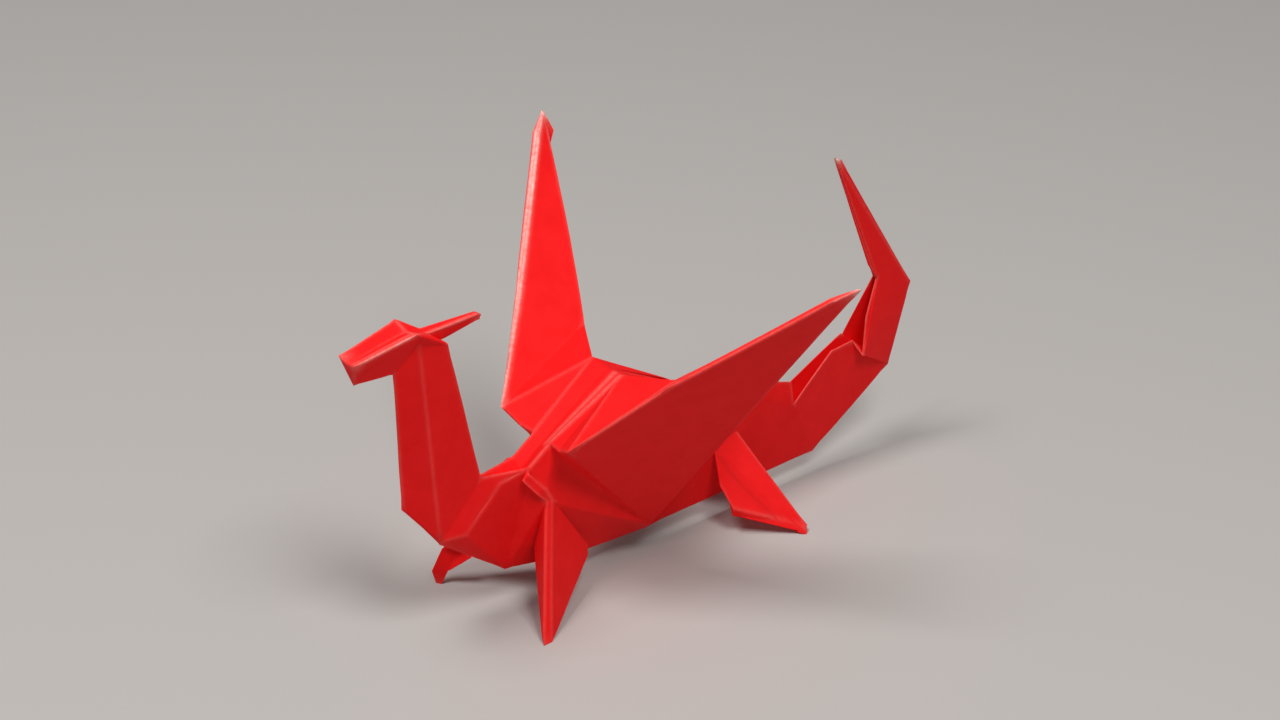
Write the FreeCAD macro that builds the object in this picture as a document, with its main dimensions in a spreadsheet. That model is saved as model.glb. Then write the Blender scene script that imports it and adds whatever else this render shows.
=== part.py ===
import FreeCAD, Part
import math
import os

# Origami dragon, folded from one square sheet: one solid, in millimetres.
# +X is the dragon's left, +Y runs towards the tail, +Z is up, and it stands on four feet.
# Each flap of the sheet is a few flat panels that meet at creases. The closed folds in the
# middle plane are round. Layers that are pressed together are one ply.
# Each half is built on the left, and the right one is mirrored. They differ in the front foot.

NODE = "folded_sheet"

# name, size in millimetres or degrees, what it is
SIZES = [
    ("ply", 0.36, "thickness of the pressed layers in a panel"),
    ("thin_ply", 0.26, "thickness of the outer layers of a wing"),
    ("foot_trim", 0.4, "how far a foot is drawn below the floor before it is cut flat"),
    ("fold_share", 1.12, "thickness of a closed fold, as a share of the ply"),
    # belly and chest: the closed fold under the body
    ("belly_height", 4.5, "closed fold above the floor"),
    ("belly_front", 17.0, "station where the belly starts to rise to the chest"),
    ("belly_end", 67.9, "station of the first bend of the tail"),
    ("chest_low_station", 3.0, "station of the lowest point of the chest"),
    ("chest_low_height", 7.5, "height of the lowest point of the chest"),
    # back: two ridges with a shallow valley between them
    ("shoulder_station", 6.4, "front end of the ridges"),
    ("shoulder_height", 25.8, "front end of the ridges"),
    ("shoulder_half", 2.1, "half the width between the ridges at the shoulder"),
    ("ridge_foot_station", 10.7, "where the ridges start to climb"),
    ("ridge_foot_height", 28.8, "where the ridges start to climb"),
    ("ridge_foot_half", 2.1, "half the width between the ridges there"),
    ("hump_station", 23.6, "top of the back"),
    ("hump_height", 36.8, "top of the back"),
    ("hump_half", 3.6, "half the width between the ridges at the top"),
    ("valley_depth", 1.3, "depth of the valley between the ridges"),
    ("pinch_station", 37.2, "where the back edges meet behind the hump"),
    ("pinch_height", 28.9, "where the back edges meet behind the hump"),
    ("pinch_half", 0.7, "half the gap between the back edges there"),
    # wing: an outer layer and an inner layer, joined along the leading edge
    ("wing_front_half", 8.6, "front corner of the wing root, from the middle"),
    ("wing_front_station", 9.3, "front corner of the wing root"),
    ("wing_front_height", 30.8, "front corner of the wing root"),
    ("wing_rear_half", 3.7, "lower corner of the wing root, from the middle"),
    ("wing_rear_station", 29.3, "lower corner of the wing root"),
    ("wing_rear_height", 6.9, "lower corner of the wing root"),
    ("wing_tip_half", 38.7, "wing tip, from the middle"),
    ("wing_tip_station", 40.9, "wing tip"),
    ("wing_tip_height", 61.2, "wing tip"),
    ("bow_share", 0.36, "where the leading edge bows most, as a share of its length"),
    ("bow_in", 0.6, "bow there, towards the middle"),
    ("bow_forward", 0.7, "bow there, towards the head"),
    ("bow_up", 1.3, "bow there, upwards"),
    ("droop_share", 0.92, "where the leading edge turns down to the tip, as a share"),
    ("droop_out", 0.2, "bow there, away from the middle"),
    ("droop_forward", 1.1, "bow there, towards the head"),
    ("droop_up", 1.0, "bow there, upwards"),
    ("hem_in", 0.55, "inner edge of the blunt leading edge, towards the middle"),
    ("hem_back", 0.5, "inner edge of the blunt leading edge, towards the tail"),
    ("pocket_half", 11.5, "open corner of the inner layer, from the middle"),
    ("pocket_station", 28.1, "open corner of the inner layer"),
    ("pocket_height", 37.8, "open corner of the inner layer"),
    ("inner_share", 0.4, "where the inner layer's rear edge bows most, as a share"),
    ("inner_bow", 0.4, "how far it bows towards the tail"),
    ("tip_bulge_share", 0.93, "where the trailing edge bulges near the tip, as a share"),
    ("tip_bulge_back", 0.6, "how far it bulges towards the tail"),
    ("tip_bulge_drop", 0.3, "how far it bulges down"),
    # neck
    ("neck_station", -15.9, "lower end of the front fold"),
    ("neck_foot_height", 26.5, "lower end of the front fold"),
    ("neck_length", 23.6, "front fold, from its lower end to the throat"),
    ("neck_lean", 1.2, "front fold leans forward"),
    ("neck_spread", 20.0, "angle of each front panel of the neck from the middle"),
    ("lap_foot_station", -10.6, "lower end of the crease between front and side of the neck"),
    ("lap_foot_height", 19.2, "lower end of that crease"),
    ("lap_top_station", -12.5, "upper end of that crease"),
    ("lap_top_height", 54.8, "upper end of that crease"),
    ("nape_top_half", 1.6, "upper end of the neck's back edge, from the middle"),
    ("nape_top_station", -7.7, "upper end of the neck's back edge"),
    ("nape_top_height", 53.0, "upper end of the neck's back edge"),
    ("nape_foot_half", 0.9, "lower end of the neck's back edge, from the middle"),
    ("nape_foot_station", -2.0, "lower end of the neck's back edge"),
    ("nape_foot_height", 26.9, "lower end of the neck's back edge"),
    ("lap_hem_half", 2.3, "where the lap's lower edge turns up to the shoulder"),
    ("lap_hem_station", -6.0, "where the lap's lower edge turns up to the shoulder"),
    ("lap_hem_height", 18.8, "where the lap's lower edge turns up to the shoulder"),
    ("lap_end_half", 2.6, "where the lap's lower edge reaches the shoulder, from the middle"),
    ("lap_end_station", 0.5, "where the lap's lower edge reaches the shoulder"),
    ("lap_end_height", 25.7, "where the lap's lower edge reaches the shoulder"),
    ("keel_station", -9.3, "front end of the chest's closed fold"),
    ("keel_height", 17.3, "front end of the chest's closed fold"),
    # head and horn
    ("jaw_length", 7.0, "throat to nose, along the closed fold"),
    ("jaw_pitch", 172.0, "direction of the jaw, up from the tail's direction"),
    ("nose_depth", 4.4, "height of the blunt nose"),
    ("nose_pitch", 102.0, "direction of the nose's front edge"),
    ("nose_half", 1.8, "half the width of the nose"),
    ("brow_station", -13.8, "rear end of the head's upper edge"),
    ("brow_height", 57.3, "rear end of the head's upper edge"),
    ("brow_half", 2.6, "half the width of the head at the brow"),
    ("rim_width", 1.2, "rim of the hood, turned in from the head's upper edge"),
    ("rim_rise", 0.5, "height of the rim above the head's upper edge"),
    ("hood_dip", 0.9, "depth of the hood's middle below its rim"),
    ("horn_root_station", -11.2, "front end of the horn's upper edge"),
    ("horn_root_height", 56.0, "front end of the horn's upper edge"),
    ("horn_length", 11.0, "horn, from its root to its tip"),
    ("horn_pitch", -7.5, "direction of the horn"),
    ("horn_depth", 4.6, "depth of the horn at its root"),
    ("horn_back", 43.0, "angle between the horn and its root edge"),
    ("horn_half", 0.8, "half the width of the horn at its root"),
    ("horn_end_back", 1.3, "flat top of the horn ends this far before the tip"),
    ("horn_end_rise", 1.0, "height of the flat top's end above the tip"),
    ("horn_end_half", 0.4, "half the width of the horn there"),
    # tail: three lengths with a crimp between them, then a point
    ("tail_base_length", 19.9, "first length of the tail"),
    ("tail_base_pitch", 32.3, "direction of the first length"),
    ("tail_mid_length", 15.8, "second length"),
    ("tail_mid_pitch", 74.2, "direction of the second length"),
    ("tail_tip_length", 33.4, "pointed length"),
    ("tail_tip_pitch", 121.8, "direction of the point"),
    ("bend1_width", 13.5, "first crease across a side of the tail"),
    ("bend1_pitch", 115.4, "direction of the first crease"),
    ("bend1_half", 2.2, "half the mouth of the tail at the first crease"),
    ("crimp1_width", 17.2, "edge of the crimp that laps the first crease"),
    ("crimp1_pitch", 113.0, "direction of that crimp's edge"),
    ("crimp1_half", 1.5, "half the mouth of the tail at that crimp"),
    ("bend2_width", 10.2, "second crease"),
    ("bend2_pitch", 144.0, "direction of the second crease"),
    ("bend2_half", 2.9, "half the mouth of the tail at the second crease"),
    ("crimp2_width", 13.2, "edge of the crimp that laps the second crease"),
    ("crimp2_pitch", 136.0, "direction of that crimp's edge"),
    ("crimp2_half", 1.6, "half the mouth of the tail at that crimp"),
    ("bend3_width", 8.5, "third crease"),
    ("bend3_pitch", 158.6, "direction of the third crease"),
    ("bend3_half", 0.5, "half the mouth of the tail at the third crease"),
    # front leg
    ("knee_half", 4.1, "top of the front leg, from the middle"),
    ("knee_station", 8.2, "top of the front leg"),
    ("knee_height", 20.0, "top of the front leg"),
    ("strip_top", 1.0, "width of the leg's front strip at the knee"),
    ("strip_foot", 1.5, "width of the leg's front strip at the foot"),
    ("left_foot_half", 12.0, "left front foot, from the middle"),
    ("left_foot_station", 1.3, "left front foot"),
    ("right_foot_half", 12.9, "right front foot, from the middle"),
    ("right_foot_station", -1.8, "right front foot"),
    ("pleat_top_half", 2.9, "front corner of the pleat over the leg, from the middle"),
    ("pleat_top_station", 4.6, "front corner of the pleat"),
    ("pleat_top_height", 24.6, "front corner of the pleat"),
    ("pleat_turn_half", 3.9, "where the pleat turns down to the leg, from the middle"),
    ("pleat_turn_station", 6.6, "where the pleat turns down to the leg"),
    ("pleat_turn_height", 21.8, "where the pleat turns down to the leg"),
    ("pleat_width", 1.4, "width of the pleat, towards the tail"),
    ("pleat_rise", 0.7, "height of the pleat's rear edge above its front edge"),
    ("heel_half", 3.0, "rear corner of the front leg, from the middle"),
    ("heel_station", 17.0, "rear corner of the front leg"),
    ("heel_height", 7.6, "rear corner of the front leg"),
    ("heel_drop", 1.9, "short rear edge of the front leg"),
    ("inner_half", 2.0, "inner corner of the front leg, from the middle"),
    ("inner_station", 7.4, "inner corner of the front leg"),
    ("inner_height", 11.0, "inner corner of the front leg"),
    # hind leg
    ("hip_station", 49.8, "rear top corner of the hind leg"),
    ("hip_height", 15.7, "rear top corner of the hind leg"),
    ("hip_front_station", 45.5, "front top corner of the hind leg"),
    ("hip_front_height", 13.9, "front top corner of the hind leg"),
    ("thigh_half", 4.3, "front edge of the hind leg, from the middle"),
    ("thigh_station", 43.8, "front edge of the hind leg"),
    ("thigh_height", 8.7, "front edge of the hind leg"),
    ("shin_half", 6.9, "lower corner of the hind leg, from the middle"),
    ("shin_station", 44.4, "lower corner of the hind leg"),
    ("shin_height", 5.2, "lower corner of the hind leg"),
    ("hind_foot_half", 13.5, "hind foot, from the middle"),
    ("hind_foot_station", 54.6, "hind foot"),
    ("hind_strip", 1.5, "depth of the strip under the hind leg"),
]

doc = FreeCAD.newDocument("origami_dragon")
sheet = doc.addObject("Spreadsheet::Sheet", "sizes")
for row, (alias, size, note) in enumerate(SIZES, start=1):
    sheet.set("A%d" % row, alias)
    sheet.set("B%d" % row, str(size))
    sheet.set("C%d" % row, note)
    sheet.setAlias("B%d" % row, alias)
doc.recompute()


def size(alias):
    """A driving size, read from the sheet."""
    return float(sheet.get(alias))


def spot(name, half=None):
    """A landmark whose half width, station and height are sizes in the sheet."""
    if half is None:
        half = size(name + "_half")
    return FreeCAD.Vector(half, size(name + "_station"), size(name + "_height"))


def middle(station, height):
    """A point in the middle plane."""
    return FreeCAD.Vector(0, station, height)


def along(start, length, pitch, half=0.0):
    """A point reached from another by a length and a pitch, seen from the side."""
    angle = math.radians(pitch)
    return FreeCAD.Vector(
        half,
        start.y + length * math.cos(angle),
        start.z + length * math.sin(angle),
    )


def shift(point, out, back, up):
    """A point moved away from the middle, towards the tail and up."""
    return point + FreeCAD.Vector(out, back, up)


def between(first, second, share):
    """A point on the way from one point to another."""
    return first + (second - first) * share


# ---------------------------------------------------------------- paper

def panel(corners, ply):
    """A flat panel of a flap: its outline, thickened evenly to both sides."""
    outline = Part.makePolygon(list(corners) + [corners[0]])
    face = Part.Face(outline)
    normal = face.normalAt(0, 0)
    face.translate(normal * (-ply / 2))
    return face.extrude(normal * ply)


def middle_edges(panels):
    """The edges in the middle plane, where the left and the right half are one fold."""
    found = {}
    for corners in panels:
        for first, second in zip(corners, list(corners[1:]) + [corners[0]]):
            if first.x == 0 and second.x == 0:
                found[frozenset([tuple(first), tuple(second)])] = (first, second)
    return list(found.values())


def middle_fold(first, second):
    """A round fold in the middle plane, a little fatter than the panels that it joins."""
    run = second - first
    fold = doc.addObject("Part::Cylinder", "middle_fold")
    fold.setExpression("Radius", "sizes.ply * sizes.fold_share / 2")
    fold.Height = run.Length
    fold.Placement = FreeCAD.Placement(first, FreeCAD.Rotation(FreeCAD.Vector(0, 0, 1), run))
    return fold


# ---------------------------------------------------------------- landmarks

PLY = size("ply")
THIN = size("thin_ply")

shoulder = spot("shoulder")
ridge_foot = spot("ridge_foot")
hump = spot("hump")
pinch = spot("pinch")
wing_front = spot("wing_front")
wing_rear = spot("wing_rear")
wing_tip = spot("wing_tip")
pocket = spot("pocket")

belly_rear = middle(size("belly_end"), size("belly_height"))
belly_front = middle(size("belly_front"), size("belly_height"))
belly_under_wing = middle(size("wing_rear_station"), size("belly_height"))
chest_low = middle(size("chest_low_station"), size("chest_low_height"))

neck_foot = middle(size("neck_station"), size("neck_foot_height"))
throat = along(neck_foot, size("neck_length"), 90 + size("neck_lean"))


def on_neck(name):
    """A landmark on a front panel of the neck, which opens from the front fold."""
    reach = size(name + "_station") - neck_foot.y
    return spot(name, reach * math.tan(math.radians(size("neck_spread"))))


lap_foot = on_neck("lap_foot")
lap_top = on_neck("lap_top")
nape_top = spot("nape_top")
nape_foot = spot("nape_foot")
lap_hem = spot("lap_hem")
lap_end = spot("lap_end")
keel = spot("keel", 0)


def valley(ridge):
    """The valley of the back, beside a point of its ridge."""
    return middle(ridge.y, ridge.z - size("valley_depth"))


# ---------------------------------------------------------------- body

knee = spot("knee")
heel = spot("heel")


def body_panels():
    """Chest, flank, back strip and gusset of the left side, then the rear flank."""
    chest = [
        (keel, lap_foot, lap_hem),
        (keel, lap_hem, chest_low),
        (lap_hem, lap_end, chest_low),
        (lap_end, shoulder, chest_low),
        (shoulder, knee, chest_low),
        (knee, belly_front, chest_low),
    ]
    flank = [
        (shoulder, ridge_foot, knee),
        (ridge_foot, wing_rear, knee),
        (ridge_foot, wing_front, wing_rear),
        (knee, wing_rear, belly_front),
        (belly_front, wing_rear, belly_under_wing),
    ]
    back = [
        (ridge_foot, wing_front, hump),
        (nape_foot, shoulder, valley(shoulder)),
        (nape_foot, valley(shoulder), valley(nape_foot)),
        (shoulder, ridge_foot, valley(ridge_foot)),
        (shoulder, valley(ridge_foot), valley(shoulder)),
        (ridge_foot, hump, valley(hump)),
        (ridge_foot, valley(hump), valley(ridge_foot)),
    ]
    rear = [
        (hump, pinch, belly_under_wing),
        (pinch, bend1, belly_under_wing),
        (pinch, crimp1, bend1),
        (bend1, belly_rear, belly_under_wing),
    ]
    return chest + flank + back + rear


# ---------------------------------------------------------------- tail

tail_bend2 = along(belly_rear, size("tail_base_length"), size("tail_base_pitch"))
tail_bend3 = along(tail_bend2, size("tail_mid_length"), size("tail_mid_pitch"))
tail_tip = along(tail_bend3, size("tail_tip_length"), size("tail_tip_pitch"))


def rim(outer, name):
    """The open edge of the tail, across a crease from its closed fold."""
    return along(outer, size(name + "_width"), size(name + "_pitch"), size(name + "_half"))


bend1 = rim(belly_rear, "bend1")
crimp1 = rim(belly_rear, "crimp1")
bend2 = rim(tail_bend2, "bend2")
crimp2 = rim(tail_bend2, "crimp2")
bend3 = rim(tail_bend3, "bend3")


def tail_panels():
    """The left side of the tail, from the first bend to the point."""
    return [
        (belly_rear, bend1, crimp2),
        (belly_rear, crimp2, tail_bend2),
        (crimp2, bend2, tail_bend2),
        (bend2, bend3, tail_bend2),
        (bend3, tail_bend3, tail_bend2),
        (bend3, tail_tip, tail_bend3),
    ]


# ---------------------------------------------------------------- wing

def wing_panels():
    """The outer layer, which runs on from the flank, the blunt edge and the inner layer."""
    bow = between(wing_front, wing_tip, size("bow_share"))
    bow = shift(bow, -size("bow_in"), -size("bow_forward"), size("bow_up"))
    droop = between(wing_front, wing_tip, size("droop_share"))
    droop = shift(droop, size("droop_out"), -size("droop_forward"), size("droop_up"))
    bow_inner = shift(bow, -size("hem_in"), size("hem_back"), 0)
    bulge = between(wing_rear, wing_tip, size("tip_bulge_share"))
    bulge = shift(bulge, 0, size("tip_bulge_back"), -size("tip_bulge_drop"))
    inner_rear = between(pocket, wing_tip, size("inner_share"))
    inner_rear = shift(inner_rear, 0, size("inner_bow"), 0)
    outer = [
        (wing_front, bow, wing_rear),
        (bow, droop, bulge),
        (bow, bulge, wing_rear),
        (droop, wing_tip, bulge),
    ]
    blunt_edge = [
        (wing_front, bow, bow_inner),
        (bow, droop, bow_inner),
        (droop, wing_tip, bow_inner),
    ]
    inner = [
        (wing_front, hump, pocket),
        (wing_front, pocket, bow_inner),
        (bow_inner, pocket, inner_rear),
        (bow_inner, inner_rear, wing_tip),
    ]
    return outer + blunt_edge + inner


# ---------------------------------------------------------------- neck, head and horn

jaw = along(throat, size("jaw_length"), size("jaw_pitch"))
nose = along(jaw, size("nose_depth"), size("nose_pitch"), size("nose_half"))
brow = spot("brow")


def neck_panels():
    """Front panel and side of the neck, and the lap that runs on to the shoulder."""
    return [
        (neck_foot, keel, lap_foot),
        (throat, neck_foot, lap_foot),
        (throat, lap_foot, lap_top),
        (lap_top, lap_foot, nape_foot),
        (lap_top, nape_foot, nape_top),
        (lap_foot, lap_hem, nape_foot),
        (lap_hem, lap_end, nape_foot),
        (lap_end, shoulder, nape_foot),
    ]


def turned_in(edge):
    """The top of the hood's rim, turned in from a point of the head's upper edge."""
    return FreeCAD.Vector(edge.x - size("rim_width"), edge.y, edge.z + size("rim_rise"))


def dipped(edge):
    """The middle of the hood, beside a point of the head's upper edge."""
    return middle(edge.y, edge.z + size("rim_rise") - size("hood_dip"))


def head_panels():
    """The side of the head, its blunt front and the hood that folds back over it."""
    return [
        (jaw, nose, brow),
        (jaw, brow, throat),
        (throat, brow, lap_top),
        (nose, turned_in(nose), turned_in(brow)),
        (nose, turned_in(brow), brow),
        (jaw, nose, dipped(nose)),
        (nose, turned_in(nose), dipped(nose)),
        (turned_in(nose), dipped(nose), dipped(brow)),
        (turned_in(nose), dipped(brow), turned_in(brow)),
        (brow, lap_top, nape_top),
        (brow, nape_top, horn_root),
        (brow, horn_root, turned_in(brow)),
        (turned_in(brow), horn_root, dipped(brow)),
    ]


horn_root = spot("horn_root", size("horn_half"))
horn_tip = along(horn_root, size("horn_length"), size("horn_pitch"))
horn_under = along(horn_root, size("horn_depth"), size("horn_pitch") - size("horn_back"))
horn_end = shift(horn_tip, size("horn_end_half"), -size("horn_end_back"), size("horn_end_rise"))


def horn_panels():
    """The left side and the flat top of the horn: the tip of the neck's flap."""
    top_root = middle(horn_root.y, horn_root.z)
    top_end = middle(horn_end.y, horn_end.z)
    return [
        (horn_root, horn_under, horn_tip),
        (horn_root, horn_tip, horn_end),
        (horn_end, horn_tip, top_end),
        (horn_root, horn_end, top_end),
        (horn_root, top_end, top_root),
        (horn_under, nape_top, horn_root),
    ]


# ---------------------------------------------------------------- legs

def pleat_rear(front):
    """The rear edge of the pleat, beside a point of its front edge."""
    return shift(front, 0, size("pleat_width"), size("pleat_rise"))


def front_leg_panels(foot_name):
    """A front strip between an outer and an inner panel, and the pleat it hangs from."""
    floor = -size("foot_trim")
    foot = FreeCAD.Vector(size(foot_name + "_half"), size(foot_name + "_station"), floor)
    foot_outer = shift(foot, 0, size("strip_foot"), 0)
    knee_outer = shift(knee, 0, size("strip_top"), 0)
    heel_low = shift(heel, 0, 0, -size("heel_drop"))
    inner = spot("inner")
    pleat_top = spot("pleat_top")
    pleat_turn = spot("pleat_turn")
    return [
        (knee, foot, foot_outer),
        (knee, foot_outer, knee_outer),
        (knee_outer, foot_outer, heel_low),
        (knee_outer, heel_low, heel),
        (knee, inner, foot),
        (knee, knee_outer, pleat_rear(pleat_turn)),
        (knee, pleat_rear(pleat_turn), pleat_turn),
        (pleat_turn, pleat_rear(pleat_turn), pleat_rear(pleat_top)),
        (pleat_turn, pleat_rear(pleat_top), pleat_top),
        (pleat_top, pleat_rear(pleat_top), shoulder),
    ]


def on_flank(name):
    """A landmark in the plane of the rear flank, so that what grows from it is joined to it."""
    across = (pinch - belly_under_wing).cross(bend1 - belly_under_wing)
    start = spot(name, 0) - belly_under_wing
    return spot(name, -(across * start) / across.x)


def hind_leg_panels():
    """A broad top panel, a strip along its lower edge and a panel under it."""
    hip = on_flank("hip")
    hip_front = on_flank("hip_front")
    thigh = spot("thigh")
    shin = spot("shin")
    foot = FreeCAD.Vector(size("hind_foot_half"), size("hind_foot_station"), -size("foot_trim"))
    under = shin - FreeCAD.Vector(0, 0, size("hind_strip"))
    return [
        (hip, hip_front, thigh),
        (hip, thigh, shin),
        (hip, shin, foot),
        (shin, under, foot),
        (under, hip_front, foot),
    ]


# ---------------------------------------------------------------- the whole sheet

FLAPS = [
    ("body", body_panels(), PLY),
    ("wing", wing_panels(), THIN),
    ("neck", neck_panels() + head_panels() + horn_panels(), PLY),
    ("tail", tail_panels(), PLY),
    ("hind_leg", hind_leg_panels(), PLY),
]

shared_panels = [corners for name, panels, ply in FLAPS for corners in panels]
plates = [panel(corners, ply) for name, panels, ply in FLAPS for corners in panels]


def half_sheet(name, foot_name):
    """Half the sheet, on the left, standing on one of the two front feet."""
    legs = [panel(corners, PLY) for corners in front_leg_panels(foot_name)]
    half = doc.addObject("Part::Feature", name)
    half.Shape = plates[0].multiFuse(plates[1:] + legs)
    return half


left = half_sheet("left_half", "left_foot")
right = doc.addObject("Part::Mirroring", "right_half")
right.Source = half_sheet("right_half_before_mirror", "right_foot")
right.Normal = FreeCAD.Vector(1, 0, 0)
folds = [middle_fold(*edge) for edge in middle_edges(shared_panels)]

# the nose's valley and its front crease end in one round corner
nose_corner = doc.addObject("Part::Sphere", "nose_corner")
nose_corner.setExpression("Radius", "sizes.ply * sizes.fold_share / 2")
nose_corner.Placement.Base = dipped(nose)
doc.recompute()
whole = doc.addObject("Part::Feature", "whole_sheet")
whole.Shape = left.Shape.fuse(right.Shape).multiFuse([fold.Shape for fold in folds + [nose_corner]])

# the floor, which the feet are cut flat by: a block as large as the dragon, under it
extent = whole.Shape.BoundBox
floor = doc.addObject("Part::Box", "floor_trim")
floor.Length = extent.XLength
floor.Width = extent.YLength
floor.Height = extent.ZLength
floor.Placement.Base = FreeCAD.Vector(extent.XMin, extent.YMin, -extent.ZLength)

dragon = doc.addObject("Part::Cut", NODE)
dragon.Label = NODE
dragon.Base = whole
dragon.Tool = floor
doc.recompute()
box = dragon.Shape.BoundBox
dragon.Placement.Base = FreeCAD.Vector(-box.Center.x, -box.Center.y, -box.ZMin)
doc.recompute()

for feature in doc.Objects:
    if "Invalid" in feature.State or "Error" in feature.State:
        raise RuntimeError("%s failed: %s" % (feature.Label, feature.State))
shape = dragon.Shape
if shape.isNull() or not shape.isValid() or len(shape.Solids) != 1:
    raise RuntimeError("%s is not one valid solid: %d" % (NODE, len(shape.Solids)))

os.makedirs("parts", exist_ok=True)
shape.exportStep("parts/%s.step" % dragon.Label)
print(NODE, "volume %.1f" % shape.Volume, "box", box.XLength, box.YLength, box.ZLength)
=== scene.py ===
import math

import bpy
from mathutils import Matrix, Vector, noise


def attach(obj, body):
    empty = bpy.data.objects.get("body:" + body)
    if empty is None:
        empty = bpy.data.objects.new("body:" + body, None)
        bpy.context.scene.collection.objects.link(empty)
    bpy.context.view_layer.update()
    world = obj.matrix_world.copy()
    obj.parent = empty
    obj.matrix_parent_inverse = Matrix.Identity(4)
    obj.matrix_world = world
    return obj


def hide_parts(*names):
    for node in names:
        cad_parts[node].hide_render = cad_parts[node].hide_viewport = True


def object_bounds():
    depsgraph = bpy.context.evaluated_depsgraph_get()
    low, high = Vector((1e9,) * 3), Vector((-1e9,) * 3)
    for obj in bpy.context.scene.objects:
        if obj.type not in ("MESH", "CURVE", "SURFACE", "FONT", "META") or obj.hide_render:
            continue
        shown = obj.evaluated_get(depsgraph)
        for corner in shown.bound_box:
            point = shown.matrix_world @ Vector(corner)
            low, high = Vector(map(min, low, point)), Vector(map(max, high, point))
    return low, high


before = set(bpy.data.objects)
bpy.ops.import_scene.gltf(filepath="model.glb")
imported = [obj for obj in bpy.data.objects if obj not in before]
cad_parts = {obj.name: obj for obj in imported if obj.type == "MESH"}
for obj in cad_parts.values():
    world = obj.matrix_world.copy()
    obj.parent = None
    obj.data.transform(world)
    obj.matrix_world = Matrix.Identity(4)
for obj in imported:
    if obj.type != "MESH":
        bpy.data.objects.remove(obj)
cad_low, cad_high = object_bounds()

MM = 0.001
# the dragon's two sides, as the sign of a half width
LEFT = 1
RIGHT = -1


# ---------------------------------------------------------------- landmarks

# half width, station from the front feet, height above the table, in millimetres
SPOTS = {
    # back and belly
    "shoulder": (2.1, 6.4, 25.8),
    "ridge_foot": (2.1, 10.7, 28.8),
    "hump": (3.6, 23.6, 36.8),
    "pinch": (0.7, 37.2, 28.9),
    "valley_front": (0.0, 6.4, 24.6),
    "valley_foot": (0.0, 10.7, 27.6),
    "valley_top": (0.0, 23.6, 36.5),
    "belly_front": (0.0, 17.0, 4.5),
    "belly_inner": (0.2, 26.0, 4.4),
    "belly_mid": (0.0, 31.5, 3.5),
    "belly_rear": (0.0, 67.9, 3.9),
    # wings
    "gusset_dip": (5.0, 10.3, 28.8),
    "wing_front": (8.6, 9.3, 30.8),
    "wing_rear": (3.7, 29.3, 6.9),
    "wing_tip": (38.7, 40.9, 61.5),
    "pocket": (11.5, 28.1, 37.8),
    "leaf": (36.9, 41.6, 58.4),
    "leaf_base": (35.6, 39.6, 56.3),
    # chest and neck
    "chest_low": (0.0, 3.0, 7.5),
    "keel": (0.0, -9.3, 17.3),
    "lap_hem": (2.3, -6.0, 18.8),
    "lap_end": (1.6, 1.3, 25.0),
    "lap_foot": (1.5, -10.3, 18.9),
    "lap_top": (1.24, -12.5, 54.8),
    "neck_foot": (0.0, -15.9, 26.3),
    "neck_sole": (0.0, -9.7, 19.5),
    "throat": (0.0, -16.4, 50.4),
    "nape_foot": (0.3, -1.5, 26.4),
    "nape_valley": (0.0, -1.5, 25.9),
    "nape_top": (1.6, -7.7, 53.0),
    # head and horn
    "jaw": (0.0, -23.3, 51.1),
    "nose": (1.95, -24.2, 55.4),
    "nose_dip": (0.0, -24.0, 54.7),
    "brow": (2.8, -13.8, 57.4),
    "brow_dip": (0.0, -13.8, 56.5),
    "horn_root": (0.9, -10.9, 55.6),
    "horn_crest": (0.0, -10.9, 55.7),
    "horn_under": (0.0, -7.9, 53.1),
    "horn_end": (0.42, -1.3, 55.35),
    "horn_end_crest": (0.0, -1.3, 55.5),
    "horn_tip": (0.0, -0.3, 54.8),
    "horn_low": (0.0, -0.5, 54.3),
    # tail
    "bend1": (1.95, 61.5, 16.5),
    "crimp1": (1.4, 61.2, 20.7),
    "bend2": (3.0, 76.0, 21.1),
    "crimp2": (1.4, 74.9, 23.6),
    "bend3": (0.4, 80.8, 33.0),
    "tail_heel2": (0.0, 84.7, 14.8),
    "tail_heel3": (0.0, 89.0, 29.4),
    "tail_tip": (0.0, 70.7, 58.5),
    "tail_tip_rear": (0.0, 72.0, 57.8),
    "tail_rim1": (2.0, 65.5, 20.2),
    "tail_rim2": (1.8, 69.8, 23.6),
    "tail_rim3": (1.9, 77.4, 27.2),
    "tail_rim4": (0.6, 78.7, 36.4),
    # front legs
    "pleat_top": (2.9, 4.6, 24.6),
    "pleat_top_rear": (2.9, 6.0, 25.3),
    "pleat_turn": (3.9, 6.6, 21.8),
    "pleat_turn_rear": (3.9, 8.0, 22.5),
    "knee": (4.1, 8.2, 20.0),
    "knee_rear": (4.1, 9.2, 20.0),
    "inner": (2.0, 7.4, 11.0),
    "heel": (3.0, 17.0, 7.6),
    "heel_low": (3.0, 17.0, 5.7),
    "left_foot": (12.0, 1.3, 0.0),
    "left_foot_rear": (12.0, 2.8, 0.0),
    "right_foot": (12.5, -1.9, 0.1),
    "right_foot_rear": (11.7, -1.3, 0.0),
    "right_ball": (12.9, -2.3, 2.3),
    "right_ball_rear": (11.3, -0.3, 2.3),
    "right_heel": (8.3, 2.3, 5.5),
    "right_shin": (12.5, -0.5, 6.0),
    "right_shin_rear": (10.7, 1.9, 6.0),
    # hind legs
    "hip": (0.35, 49.8, 15.7),
    "hip_front": (0.35, 45.5, 13.9),
    "thigh": (4.3, 43.8, 8.7),
    "shin": (6.9, 44.4, 5.2),
    "under_shin": (6.9, 44.4, 3.7),
    "hind_toe": (13.6, 54.7, 1.1),
    "hind_sole": (14.4, 54.1, 0.0),
}


def between(first, second, share):
    """A spot part of the way from one landmark to another."""
    return tuple(a + (b - a) * share for a, b in zip(SPOTS[first], SPOTS[second]))


def moved(spot, inward=0.0, back=0.0, up=0.0):
    """A spot moved by a little towards the middle, the tail and up."""
    return (spot[0] - inward, spot[1] + back, spot[2] + up)


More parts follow.
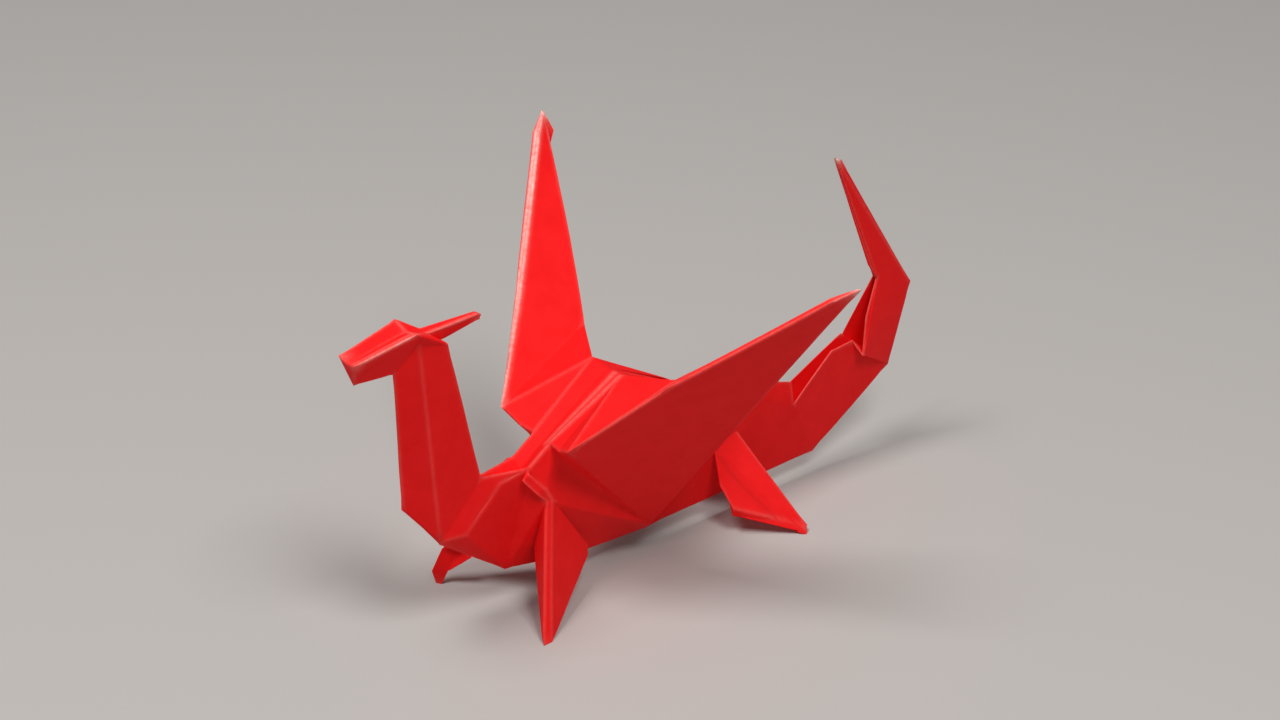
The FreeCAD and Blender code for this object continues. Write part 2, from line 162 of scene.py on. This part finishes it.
# the wing's front edge, its hem in front of that, its rear edge and its inner edge
SPOTS["lead1"] = moved(between("wing_front", "wing_tip", 0.36), inward=0.5, back=-0.66, up=0.95)
SPOTS["lead2"] = moved(between("wing_front", "wing_tip", 0.92), inward=-0.2, back=-1.1, up=0.6)
SPOTS["hem1"] = moved(SPOTS["lead1"], inward=0.55, back=0.5, up=0.08)
SPOTS["hem2"] = moved(SPOTS["lead2"], inward=0.8, back=0.5)
SPOTS["trail1"] = moved(between("wing_rear", "wing_tip", 0.45), back=-0.2)
SPOTS["trail2"] = moved(between("wing_rear", "wing_tip", 0.93), up=0.3)
SPOTS["inner1"] = moved(between("pocket", "wing_tip", 0.4), back=0.4)
SPOTS["inner2"] = moved(between("pocket", "wing_tip", 0.8), back=0.15)

# lines inside a panel, which only the wear and the painted highlight follow
SPOTS["band1"] = between("hem1", "lead1", 0.5)
SPOTS["band2"] = between("hem2", "lead2", 0.5)
SPOTS["nose_middle"] = between("nose", "nose_dip", 0.3)
SPOTS["brow_middle"] = between("brow", "brow_dip", 0.3)
SPOTS["ridge_middle"] = between("ridge_foot", "valley_foot", 0.4)
SPOTS["hump_middle"] = between("hump", "valley_top", 0.4)

# one pressed layer of the dragon, in millimetres
PAPER = 0.2
# the tail's third heel is the rearmost point of the solid, round the fold
REAR_STATION = SPOTS["tail_heel3"][1]
BACK = cad_high.y / MM - REAR_STATION - PAPER


def place(name):
    """A landmark in the shared frame, in metres."""
    half, station, height = SPOTS[name]
    return Vector((half, station + BACK, height)) * MM


def on_side(spot, side):
    """A place on the left half, or its mirror image on the right."""
    return spot * Vector((side, 1, 1))


# ---------------------------------------------------------------- panels

# each panel of the left half: one or more polygons that lie in one smooth piece of paper
PANELS = {
    "chest_front": [("keel", "lap_foot", "lap_hem", "chest_low")],
    "chest_side": [("lap_hem", "lap_end", "shoulder", "chest_low")],
    "chest_leg": [("shoulder", "knee", "chest_low")],
    "chest_under": [("knee", "belly_front", "chest_low")],
    "flank_front": [("shoulder", "ridge_foot", "knee")],
    "flank": [("ridge_foot", "gusset_dip", "wing_rear", "knee"),
              ("gusset_dip", "wing_front", "wing_rear")],
    "flank_low": [("knee", "wing_rear", "belly_mid", "belly_front")],
    "gusset_inner": [("ridge_foot", "gusset_dip", "hump")],
    "gusset_outer": [("gusset_dip", "wing_front", "hump")],
    "nape_strip": [("nape_foot", "shoulder", "valley_front", "nape_valley")],
    "foot_strip": [("shoulder", "ridge_foot", "valley_foot", "valley_front")],
    "back_strip": [("ridge_foot", "hump", "valley_top", "valley_foot")],
    "back_rear": [("hump", "pinch", "valley_top")],
    "rear_front": [("hump", "pinch", "belly_mid"), ("hump", "belly_mid", "belly_inner")],
    "rear": [("pinch", "bend1", "belly_rear", "belly_mid"), ("pinch", "crimp1", "bend1")],
    "tail_base": [("belly_rear", "bend1", "crimp2", "tail_heel2")],
    "tail_crimp": [("crimp2", "bend2", "tail_heel2")],
    "tail_middle": [("tail_heel2", "bend2", "bend3", "tail_heel3")],
    "tail_point": [("bend3", "tail_tip", "tail_tip_rear", "tail_heel3")],
    "wing_outer": [("wing_front", "lead1", "trail1", "wing_rear"),
                   ("lead1", "lead2", "trail2", "trail1"),
                   ("lead2", "wing_tip", "trail2")],
    "wing_hem": [("wing_front", "lead1", "hem1"), ("lead1", "lead2", "hem2", "hem1"),
                 ("lead2", "wing_tip", "hem2")],
    "wing_gusset": [("wing_front", "hump", "pocket")],
    "wing_inner": [("wing_front", "pocket", "hem1"), ("hem1", "pocket", "inner1"),
                   ("hem1", "inner1", "inner2", "hem2"), ("hem2", "inner2", "wing_tip")],
    "neck_low": [("neck_foot", "neck_sole", "lap_foot"), ("neck_sole", "keel", "lap_foot")],
    "neck_front": [("throat", "neck_foot", "lap_foot", "lap_top")],
    "neck_side": [("lap_top", "lap_foot", "nape_foot", "nape_top")],
    "neck_lap": [("lap_foot", "lap_hem", "nape_foot")],
    "neck_band": [("lap_hem", "lap_end", "shoulder", "nape_foot")],
    "head_side": [("jaw", "nose", "brow", "throat")],
    "cheek": [("throat", "brow", "lap_top")],
    "nose_front": [("jaw", "nose", "nose_dip")],
    "hood": [("nose", "nose_dip", "brow_dip", "brow")],
    "nape_top": [("brow", "lap_top", "nape_top")],
    "hood_back": [("brow", "nape_top", "horn_root")],
    "hood_end": [("brow", "horn_root", "horn_crest", "brow_dip")],
    "horn_side": [("horn_root", "horn_under", "horn_low", "horn_tip"),
                  ("horn_root", "horn_tip", "horn_end")],
    "horn_top": [("horn_root", "horn_end", "horn_end_crest", "horn_crest")],
    "horn_cap": [("horn_end", "horn_tip", "horn_end_crest")],
    "horn_root": [("horn_under", "nape_top", "horn_root")],
}
PLEAT = {
    "pleat_turn": [("knee", "knee_rear", "pleat_turn_rear", "pleat_turn")],
    "pleat": [("pleat_turn", "pleat_turn_rear", "pleat_top_rear", "pleat_top")],
    "pleat_end": [("pleat_top", "pleat_top_rear", "shoulder")],
}
LEFT_LEG = PLEAT | {
    "leg_strip": [("knee", "left_foot", "left_foot_rear", "knee_rear")],
    "leg_outer": [("knee_rear", "left_foot_rear", "heel_low", "heel")],
    "leg_inner": [("knee", "inner", "left_foot")],
}
# the right front foot is bent forward at its ball
RIGHT_LEG = PLEAT | {
    "leg_strip": [("knee", "right_shin", "right_shin_rear", "knee_rear"),
                  ("right_shin", "right_ball", "right_ball_rear", "right_shin_rear"),
                  ("right_ball", "right_foot", "right_foot_rear", "right_ball_rear")],
    "leg_outer": [("knee_rear", "right_shin_rear", "heel_low", "heel"),
                  ("right_shin_rear", "right_ball_rear", "right_heel")],
    "leg_inner": [("knee", "inner", "right_shin")],
}
HIND_LEG = {
    "thigh_top": [("hip", "hip_front", "thigh", "shin"), ("hip", "shin", "hind_toe")],
    "thigh_strip": [("shin", "under_shin", "hind_sole", "hind_toe")],
    "thigh_under": [("under_shin", "hip_front", "hind_sole")],
    "thigh_back": [("hip", "hind_toe", "hind_sole"), ("hip", "hind_sole", "hip_front")],
}
# loose edges that the paper shows on one side alone
TAIL_RIM = {
    "rim_low": [("bend1", "tail_rim1", "tail_rim2", "crimp2")],
    "rim_high": [("bend2", "tail_rim3", "bend3")],
    "rim_top": [("bend3", "tail_rim4", "tail_tip")],
}
TIP_LEAF = {"leaf": [("wing_tip", "leaf", "leaf_base", "trail2")]}


# ---------------------------------------------------------------- folding

# corners that are closer than this are one, in millimetres
SAME_CORNER = 0.02
# how often each polygon is cut, and the levels of the smoothing after that
PANEL_CUTS = 2
SMOOTHING = 2
# how far a crease is rounded to each side in millimetres, or as a share of a narrow panel's girth
FOLD_EDGE = 0.42
NARROW_FOLD_EDGE = 0.3
# the paper's waves: their depth and two lengths in millimetres, and the share of the short ones
WAVE_DEPTH = 0.12
LONG_WAVE = 16.0
SHORT_WAVE = 5.0
SHORT_WAVE_SHARE = 0.25
SHORT_WAVE_START = Vector((7, 3, 1))
# which waves they are, the same in every run
WAVE_SEED = 7


def deselect():
    """Leaves nothing selected, so that an operator acts on the new piece alone."""
    if bpy.context.object and bpy.context.object.mode == "EDIT":
        bpy.ops.object.mode_set(mode="OBJECT")
    bpy.ops.object.select_all(action="DESELECT")


def take(piece):
    """Makes a piece the only one selected."""
    deselect()
    piece.select_set(True)
    bpy.context.view_layer.objects.active = piece


def apply_modifier(piece, kind, **settings):
    """Adds a modifier with its settings and applies it."""
    modifier = piece.modifiers.new(kind, kind)
    for key, value in settings.items():
        setattr(modifier, key, value)
    take(piece)
    bpy.ops.object.modifier_apply(modifier=modifier.name)


def cut_polygon(corners, side, number):
    """One polygon of a panel: a disc whose rim is drawn out to its landmarks."""
    bpy.ops.mesh.primitive_circle_add(vertices=len(corners), radius=MM, fill_type="NGON")
    polygon = bpy.context.object
    for vertex, corner in zip(polygon.data.vertices, corners):
        vertex.co = on_side(place(corner), side)
    panel_of = polygon.data.attributes.new("panel", "INT", "FACE")
    for entry in panel_of.data:
        entry.value = number
    polygon.matrix_world = Matrix.Identity(4)
    return polygon


def cut_panels(name, panels, side):
    """One flap: the polygons of all its panels, joined at their corners and edges."""
    deselect()
    polygons = [cut_polygon(corners, side, number)
                for number, outlines in enumerate(panels.values()) for corners in outlines]
    deselect()
    for polygon in polygons:
        polygon.select_set(True)
    bpy.context.view_layer.objects.active = polygons[0]
    bpy.ops.object.join()
    flap = bpy.context.object
    flap.name = name
    flap.data.name = name
    bpy.ops.object.mode_set(mode="EDIT")
    bpy.ops.mesh.select_all(action="SELECT")
    bpy.ops.mesh.remove_doubles(threshold=SAME_CORNER * MM)
    bpy.ops.mesh.normals_make_consistent(inside=False)
    bpy.ops.object.mode_set(mode="OBJECT")
    return flap


def select_faces(piece, wanted):
    """Selects the faces whose index is wanted, and leaves the piece in edit mode."""
    take(piece)
    bpy.ops.object.mode_set(mode="EDIT")
    bpy.ops.mesh.select_mode(type="FACE")
    bpy.ops.mesh.select_all(action="DESELECT")
    bpy.ops.object.mode_set(mode="OBJECT")
    for face in piece.data.polygons:
        face.select = face.index in wanted
    bpy.ops.object.mode_set(mode="EDIT")


def girth(piece, faces):
    """Twice the area of some faces over their outline: about the radius that fits in them."""
    area = sum(piece.data.polygons[index].area for index in faces)
    uses = {}
    for index in faces:
        for key in piece.data.polygons[index].edge_keys:
            uses[key] = uses.get(key, 0) + 1
    rim = sum((piece.data.vertices[a].co - piece.data.vertices[b].co).length
              for (a, b), count in uses.items() if count == 1)
    return 2 * area / rim


def round_creases(flap):
    """Gives each panel a narrow border, so that smoothing rounds its creases and no more."""
    take(flap)
    bpy.ops.object.mode_set(mode="EDIT")
    bpy.ops.mesh.select_all(action="SELECT")
    bpy.ops.mesh.subdivide(number_cuts=PANEL_CUTS)
    bpy.ops.object.mode_set(mode="OBJECT")
    numbers = sorted({entry.value for entry in flap.data.attributes["panel"].data})
    for number in numbers:
        values = flap.data.attributes["panel"].data
        faces = {index for index, entry in enumerate(values) if entry.value == number}
        border = min(FOLD_EDGE * MM, NARROW_FOLD_EDGE * girth(flap, faces))
        select_faces(flap, faces)
        bpy.ops.mesh.inset(thickness=border, use_boundary=True, use_even_offset=True)
        bpy.ops.object.mode_set(mode="OBJECT")


def pin_corners(flap, panels):
    """Keeps every folded corner where it is while the paper between is smoothed."""
    names = sorted({corner for outlines in panels.values() for corners in outlines
                    for corner in corners})
    ends = [on_side(place(name), side) for name in names for side in (LEFT, RIGHT)]
    pins = flap.data.attributes.new("crease_vert", "FLOAT", "POINT")
    for vertex, entry in zip(flap.data.vertices, pins.data):
        nearest = min((vertex.co - end).length for end in ends)
        entry.value = 1.0 if nearest < SAME_CORNER * MM else 0.0


def wave(piece):
    """Lets hand-folded paper leave its flat panels a little, the same where pieces meet."""
    moves = []
    for vertex in piece.data.vertices:
        slow = noise.noise_vector(vertex.co / (LONG_WAVE * MM))
        quick = noise.noise_vector(vertex.co / (SHORT_WAVE * MM) + SHORT_WAVE_START)
        moves.append((slow + quick * SHORT_WAVE_SHARE) * WAVE_DEPTH * MM)
    for vertex, move in zip(piece.data.vertices, moves):
        vertex.co += move


def fold(name, panels, sides):
    """A flap with round creases and its paper's thickness; a flap of both sides is two mirrored
    halves.
    """
    flap = cut_panels(name, panels, RIGHT if sides == "right" else LEFT)
    round_creases(flap)
    if sides == "both":
        apply_modifier(flap, "MIRROR", use_axis=(True, False, False), use_clip=False,
                       merge_threshold=SAME_CORNER * MM)
    pin_corners(flap, panels)
    apply_modifier(flap, "SUBSURF", levels=SMOOTHING, render_levels=SMOOTHING,
                   boundary_smooth="PRESERVE_CORNERS")
    wave(flap)
    apply_modifier(flap, "SOLIDIFY", thickness=PAPER * MM, offset=1.0, use_even_offset=False,
                   use_rim=True)
    return flap


noise.seed_set(WAVE_SEED)
flaps = [
    fold("folded_body", PANELS, "both"),
    fold("left_front_leg", LEFT_LEG, "left"),
    fold("right_front_leg", RIGHT_LEG, "right"),
    fold("hind_legs", HIND_LEG, "both"),
    fold("tail_rim", TAIL_RIM, "left"),
    fold("wing_tip_leaf", TIP_LEAF, "right"),
]


# ---------------------------------------------------------------- wear and painted highlights

# how pale each kind of crease is: pale paper shows where the fold rubs, and a painted highlight
# where the fold's rounded ridge catches the light
WEAR_AND_HIGHLIGHT_LINES = {
    # wings
    ("wing_front", "hem1"): 0.4, ("hem1", "hem2"): 0.45, ("hem2", "wing_tip"): 0.7,
    ("wing_front", "lead1"): 0.4, ("lead1", "lead2"): 0.4, ("lead2", "wing_tip"): 0.7,
    ("pocket", "inner1"): 0.3, ("inner1", "inner2"): 0.3, ("inner2", "wing_tip"): 0.6,
    ("trail1", "trail2"): 0.2, ("trail2", "wing_tip"): 0.6,
    # back and shoulders
    ("wing_front", "hump"): 0.2, ("ridge_foot", "hump"): 0.3, ("shoulder", "ridge_foot"): 0.4,
    ("ridge_foot", "gusset_dip"): 0.2, ("gusset_dip", "wing_front"): 0.2,
    # chest and neck
    ("nape_foot", "shoulder"): 0.3, ("nape_foot", "nape_top"): 0.3,
    ("throat", "neck_foot"): 0.3, ("lap_top", "lap_foot"): 0.22, ("lap_foot", "lap_hem"): 0.25,
    ("lap_hem", "lap_end"): 0.2, ("lap_end", "shoulder"): 0.3,
    # head and horn
    ("nose", "brow"): 0.8, ("nose_dip", "brow_dip"): 0.3, ("brow", "brow_dip"): 0.5,
    ("jaw", "nose"): 0.25, ("jaw", "throat"): 0.2, ("brow", "horn_root"): 0.3,
    ("horn_root", "horn_end"): 0.7, ("horn_end", "horn_tip"): 0.6,
    # tail
    ("pinch", "crimp1"): 0.3, ("bend1", "crimp1"): 0.5, ("crimp2", "bend2"): 0.5,
    ("bend1", "tail_rim1"): 0.5, ("tail_rim1", "tail_rim2"): 0.5, ("tail_rim2", "crimp2"): 0.5,
    ("bend2", "tail_rim3"): 0.4, ("tail_rim3", "bend3"): 0.4, ("bend3", "tail_tip"): 0.3,
    ("belly_rear", "tail_heel2"): 0.2, ("tail_heel2", "tail_heel3"): 0.3,
    ("tail_heel3", "tail_tip"): 0.35,
    # legs
    ("heel", "heel_low"): 0.2, ("knee", "left_foot"): 0.2, ("knee_rear", "left_foot_rear"): 0.2,
    ("pleat_top", "pleat_turn"): 0.4, ("pleat_turn", "knee"): 0.4,
    ("pleat_top_rear", "pleat_turn_rear"): 0.4, ("pleat_turn_rear", "knee_rear"): 0.4,
    ("thigh", "shin"): 0.15, ("shin", "hind_toe"): 0.25, ("hip", "hind_toe"): 0.3,
}
# the right wing's folded front hem is palest: rubbed, and a painted highlight on the hem strip
# that faces the light
RIGHT_WEAR_AND_HIGHLIGHT_LINES = {
    ("wing_front", "hem1"): 0.95, ("hem1", "hem2"): 0.95, ("hem2", "wing_tip"): 0.9,
    ("wing_front", "band1"): 0.9, ("band1", "band2"): 0.95, ("band2", "wing_tip"): 0.9,
}
# and on the left a painted highlight, with some wear, on the flat tops of the hood and of the
# ridge beside the wing, which face the light
LEFT_HIGHLIGHT_AND_WEAR_LINES = {
    ("ridge_foot", "hump"): 0.5, ("ridge_middle", "hump_middle"): 0.55,
    ("nose_middle", "brow_middle"): 0.5,
}
# how far the wear and the painted highlight of a crease and of a broad band reach to each side,
# in millimetres
CREASE_WEAR_AND_HIGHLIGHT_REACH = 0.32
BAND_WEAR_AND_HIGHLIGHT_REACH = 0.5
# how white each tip is, and how far the white reaches, in millimetres
TIPS = {
    "wing_tip": (0.95, 2.4), "tail_tip": (1.0, 2.2), "horn_tip": (0.45, 1.5),
    "hind_toe": (0.3, 1.2), "left_foot": (0.3, 1.2), "right_foot": (0.2, 1.2),
    "nose": (0.5, 1.5),
}
# a line's wear and painted highlight, or a tip's wear, is nothing past this many of its reaches
LINE_END = 3
TIP_END = 2


def wear_and_highlight_lines():
    """Every pale line, rubbed and painted highlight: its two ends, how pale it is and how far the
    paleness reaches.
    """
    sets = [(WEAR_AND_HIGHLIGHT_LINES, LEFT, CREASE_WEAR_AND_HIGHLIGHT_REACH), (WEAR_AND_HIGHLIGHT_LINES, RIGHT, CREASE_WEAR_AND_HIGHLIGHT_REACH),
            (LEFT_HIGHLIGHT_AND_WEAR_LINES, LEFT, BAND_WEAR_AND_HIGHLIGHT_REACH), (RIGHT_WEAR_AND_HIGHLIGHT_LINES, RIGHT, BAND_WEAR_AND_HIGHLIGHT_REACH)]
    return [(on_side(place(first), side), on_side(place(second), side), strength, reach * MM)
            for worn_and_highlit, side, reach in sets for (first, second), strength in worn_and_highlit.items()]


def worn_tips():
    """Every pale tip: its place, how white it is and how far the white reaches."""
    return [(on_side(place(name), side), strength, reach * MM)
            for name, (strength, reach) in TIPS.items() for side in (LEFT, RIGHT)]


def line_gap(point, first, second):
    """How far a point is from a straight line between two others."""
    run = second - first
    share = max(0.0, min(1.0, (point - first).dot(run) / run.length_squared))
    return (point - first - run * share).length


def faded(strength, gap, reach, end):
    """What is left of a pale mark, wear or painted highlight, at some distance from where it is
    strongest.
    """
    return strength * math.exp(-(gap / reach) ** 2) if gap < end * reach else 0.0


def mark_wear_and_highlight(piece, lines, tips):
    """Stores, at each point of the paper, how pale it is: red rubbed off, and painted highlight
    along lit folds and tops.
    """
    wear_and_highlight = piece.data.attributes.new("wear_and_highlight", "FLOAT", "POINT")
    for vertex, entry in zip(piece.data.vertices, wear_and_highlight.data):
        rubbed_and_highlit = [faded(strength, line_gap(vertex.co, first, second), reach, LINE_END)
                  for first, second, strength, reach in lines]
        rubbed_and_highlit += [faded(strength, (vertex.co - tip).length, reach, TIP_END)
                   for tip, strength, reach in tips]
        entry.value = max(rubbed_and_highlit)


# ---------------------------------------------------------------- paper

DEEP_RED = (0.88, 0.003, 0.004, 1)
BRIGHT_RED = (0.95, 0.007, 0.008, 1)
# pale reds for rubbed paper and for the painted highlights along lit folds and tops
RUBBED_AND_HIGHLIT_RED = (0.95, 0.22, 0.19, 1)
BARE_AND_HIGHLIT_PAPER = (0.95, 0.60, 0.54, 1)
# how much of the wear and painted highlight shows, from one grain of the paper to another
LEAST_WEAR_AND_HIGHLIGHT = 0.55
MOST_WEAR_AND_HIGHLIGHT = 1.15
# the mix node's own numbers for its share, its two colours and its result
MIX_SHARE = 0
MIX_FIRST = 6
MIX_SECOND = 7
MIX_RESULT = 2


def new_material(name):
    """An empty node material and its shader."""
    material = bpy.data.materials.new(name)
    material.use_nodes = True
    nodes = material.node_tree.nodes
    nodes.clear()
    output = nodes.new("ShaderNodeOutputMaterial")
    shader = nodes.new("ShaderNodeBsdfPrincipled")
    material.node_tree.links.new(shader.outputs["BSDF"], output.inputs["Surface"])
    return material, shader


def node(material, kind, **values):
    """A node with its settings and input values."""
    made = material.node_tree.nodes.new(kind)
    for key, value in values.items():
        if key in made.inputs:
            made.inputs[key].default_value = value
        else:
            setattr(made, key, value)
    return made


def join(material, start, end):
    """Links an output to an input."""
    material.node_tree.links.new(start, end)


def set_values(made, **values):
    """Sets inputs by name, with an underscore for each space."""
    for key, value in values.items():
        made.inputs[key.replace("_", " ")].default_value = value


def ramp(material, source, start, start_colour, end, end_colour):
    """A blend from one colour to another over a range of its source."""
    made = node(material, "ShaderNodeValToRGB")
    stops = made.color_ramp.elements
    for stop, position, colour in zip(stops, (start, end), (start_colour, end_colour)):
        stop.position = position
        stop.color = colour
    join(material, source, made.inputs["Fac"])
    return made.outputs["Color"]


def cloudy(material, **values):
    """A noise pattern in the paper's own coordinates."""
    coords = node(material, "ShaderNodeTexCoord")
    made = node(material, "ShaderNodeTexNoise", **values)
    join(material, coords.outputs["Object"], made.inputs["Vector"])
    return made.outputs["Fac"]


def red_paper():
    """Uncoated folding paper: deep red, faintly mottled, fibrous, pale where a fold is rubbed and
    where painted highlights lie along lit folds and tops.
    """
    material, shader = new_material("red_folding_paper")
    mottle = cloudy(material, Scale=260.0, Detail=5.0, Roughness=0.6)
    tint = ramp(material, mottle, start=0.3, start_colour=DEEP_RED, end=0.72,
                end_colour=BRIGHT_RED)

    # pale marks: rubbed folds and tips, and painted highlights along lit folds and tops
    wear_and_highlight = node(material, "ShaderNodeAttribute", attribute_name="wear_and_highlight").outputs["Fac"]
    bare_and_highlit_colour = ramp(material, wear_and_highlight, start=0.5, start_colour=RUBBED_AND_HIGHLIT_RED, end=0.95,
                end_colour=BARE_AND_HIGHLIT_PAPER)
    grain = cloudy(material, Scale=1400.0, Detail=3.0)
    uneven = node(material, "ShaderNodeMapRange")
    set_values(uneven, From_Min=0.25, From_Max=0.75, To_Min=LEAST_WEAR_AND_HIGHLIGHT, To_Max=MOST_WEAR_AND_HIGHLIGHT)
    join(material, grain, uneven.inputs["Value"])
    rubbed_and_highlit = node(material, "ShaderNodeMath", operation="MULTIPLY", use_clamp=True)
    join(material, wear_and_highlight, rubbed_and_highlit.inputs[0])
    join(material, uneven.outputs["Result"], rubbed_and_highlit.inputs[1])
    mixed = node(material, "ShaderNodeMix", data_type="RGBA")
    join(material, rubbed_and_highlit.outputs["Value"], mixed.inputs[MIX_SHARE])
    join(material, tint, mixed.inputs[MIX_FIRST])
    join(material, bare_and_highlit_colour, mixed.inputs[MIX_SECOND])
    join(material, mixed.outputs[MIX_RESULT], shader.inputs["Base Color"])

    fibre = cloudy(material, Scale=2600.0, Detail=4.0, Roughness=0.65)
    bump = node(material, "ShaderNodeBump", Strength=0.35, Distance=0.04 * MM)
    join(material, fibre, bump.inputs["Height"])
    join(material, bump.outputs["Normal"], shader.inputs["Normal"])
    set_values(shader, Subsurface_Weight=0.25, Subsurface_Radius=(1.0, 0.15, 0.12),
               Subsurface_Scale=0.35 * MM, Roughness=0.72, Specular_IOR_Level=0.2)
    return material


# a sharper turn than this stays an edge in the shading
SHARP_TURN = math.radians(40)
paper = red_paper()
# rubbed folds, pale tips and painted highlights along lit folds and tops
rubbed_lines = wear_and_highlight_lines()
pale_tips = worn_tips()
for piece in flaps:
    mark_wear_and_highlight(piece, rubbed_lines, pale_tips)
    piece.data.materials.clear()
    piece.data.materials.append(paper)
    take(piece)
    bpy.ops.object.shade_smooth_by_angle(angle=SHARP_TURN)
    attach(piece, "root")
    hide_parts("folded_sheet")


# ---------------------------------------------------------------- table and light

TABLE_SIZE = 4.0
TABLE_GREY = (0.475, 0.45, 0.428, 1)
WHITE = (1.0, 1.0, 1.0, 1)
ROOM_LIGHT = 0.16
LAMP_AIM = Vector((0, 0, 0.03))
LAMP_WIDTH = 0.28


def pale_table():
    """A matt table that keeps the shadow."""
    deselect()
    bpy.ops.mesh.primitive_plane_add(size=TABLE_SIZE, location=(0, 0, 0))
    table = bpy.context.object
    table.name = "table"
    material, shader = new_material("pale_table")
    set_values(shader, Base_Color=TABLE_GREY, Roughness=0.9)
    table.data.materials.append(material)


def room():
    """A dim white room, so that no shadow is quite black."""
    world = bpy.data.worlds.new("studio")
    bpy.context.scene.world = world
    world.use_nodes = True
    set_values(world.node_tree.nodes["Background"], Color=WHITE, Strength=ROOM_LIGHT)


def lamp(name, spot, watts):
    """A soft round lamp that points at the dragon."""
    light = bpy.data.lights.new(name, "AREA")
    light.shape = "DISK"
    light.size = LAMP_WIDTH
    light.energy = watts
    made = bpy.data.objects.new(name, light)
    bpy.context.scene.collection.objects.link(made)
    made.location = spot
    made.rotation_euler = (Vector(spot) - LAMP_AIM).to_track_quat("Z", "Y").to_euler()


pale_table()
room()
lamp("overhead", spot=(-0.065, -0.29, 0.75), watts=3.4)
lamp("window", spot=(0.39, -0.06, 0.70), watts=3.1)


# ---------------------------------------------------------------- camera

# where the camera looks, and where it stands from there, in degrees and millimetres
AIM_STATION = 28.0
AIM_HEIGHT = 30.0
CAMERA_SIDE = math.radians(51.17)
CAMERA_UP = math.radians(30.49)
CAMERA_AWAY = 476.19
CAMERA_RIGHT = 1.78
CAMERA_RAISED = 5.53
LENS_LENGTH = 84.375
SENSOR_WIDTH = 36.0


def look():
    """The scene's camera, above the dragon's front left and with no tilt to either side."""
    away = Vector((math.sin(CAMERA_SIDE) * math.cos(CAMERA_UP),
                   -math.cos(CAMERA_SIDE) * math.cos(CAMERA_UP), math.sin(CAMERA_UP)))
    right = Vector((math.cos(CAMERA_SIDE), math.sin(CAMERA_SIDE), 0))
    upward = away.cross(right)
    aim = Vector((0, AIM_STATION + BACK, AIM_HEIGHT)) * MM
    eye = aim + (away * CAMERA_AWAY + right * CAMERA_RIGHT + upward * CAMERA_RAISED) * MM
    lens = bpy.data.cameras.new("camera")
    lens.lens = LENS_LENGTH
    lens.sensor_width = SENSOR_WIDTH
    camera = bpy.data.objects.new("camera", lens)
    bpy.context.scene.collection.objects.link(camera)
    turn = Matrix((right, upward, away)).transposed()
    camera.matrix_world = Matrix.Translation(eye) @ turn.to_4x4()
    bpy.context.scene.camera = camera


look()
bpy.context.scene.view_settings.view_transform = "Standard"
